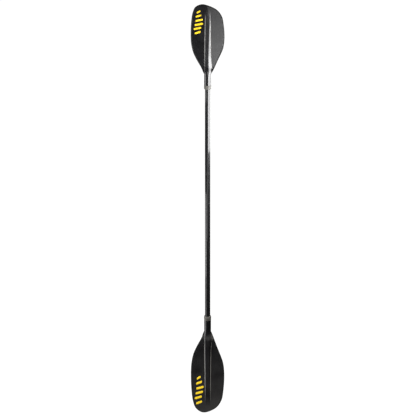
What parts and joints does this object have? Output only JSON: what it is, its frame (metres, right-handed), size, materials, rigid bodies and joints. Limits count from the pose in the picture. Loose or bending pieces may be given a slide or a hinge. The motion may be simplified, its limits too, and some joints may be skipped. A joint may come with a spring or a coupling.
{
  "type": "kayak paddle",
  "caption": "Double-bladed kayak paddle with dished off-centre blades, creased spines and a flush take-apart joint with feather stops and a snap button.",
  "frame": {"origin": "middle of the shaft, on its axis, where the two halves meet", "axes": "+Z along the shaft to the upper blade, -Y the side both faces look to, -X the side of the blades' longer edges"},
  "size_m": [0.181, 0.1209, 2.3998],
  "materials": {
    "moulded_blade": "black glass-filled moulding, satin face",
    "edge_band": "black, glossier than the face",
    "core_foam": "closed-cell foam",
    "plug_foam": "closed-cell foam",
    "mark_paint": "bright yellow printed film",
    "collar": "dark grey, satin",
    "adhesive": "cured epoxy",
    "shaft": "black wound composite tube, polished",
    "ferrule": "ground composite, satin",
    "seal": "soft rubber",
    "button": "stainless steel, tumbled",
    "spring": "spring steel"
  },
  "bodies": {
    "lower_half": {"lower_blade": "moulded_blade", "lower_edge_band": "edge_band", "lower_foam_core": "core_foam", "lower_blade_mark": "mark_paint", "lower_socket_collar": "collar", "lower_socket_adhesive": "adhesive", "lower_shaft_end_plug": "plug_foam", "lower_bulkhead_plug": "plug_foam", "lower_shaft_tube": "shaft", "ferrule_insert": "ferrule", "button_leaf_spring": "spring"},
    "seal": {"joint_seal_ring": "seal"},
    "upper_half": {"upper_blade": "moulded_blade", "upper_edge_band": "edge_band", "upper_foam_core": "core_foam", "upper_blade_mark": "mark_paint", "upper_socket_collar": "collar", "upper_socket_adhesive": "adhesive", "upper_shaft_end_plug": "plug_foam", "upper_bulkhead_plug": "plug_foam", "upper_shaft_tube": "shaft", "ferrule_sleeve": "ferrule"},
    "button": {"snap_button": "button"}
  },
  "joints": [
    {"name": "feather", "type": "hinge", "parent": "lower_half", "child": "seal", "pos_m": [0, 0, 0], "axis": [0, 0, 1], "range_deg": [-60, 60], "deforming": ["snap_button"]},
    {"name": "pull_apart", "type": "slide", "parent": "seal", "child": "upper_half", "axis": [0, 0, 1], "range_m": [0, 0.15]},
    {"name": "button_press", "type": "slide", "parent": "lower_half", "child": "button", "axis": [0, -1, 0], "range_m": [0, 0.0045], "stiffness_N_per_m": 2500, "springref_m": -0.002, "deforming": ["button_leaf_spring"]}
  ]
}
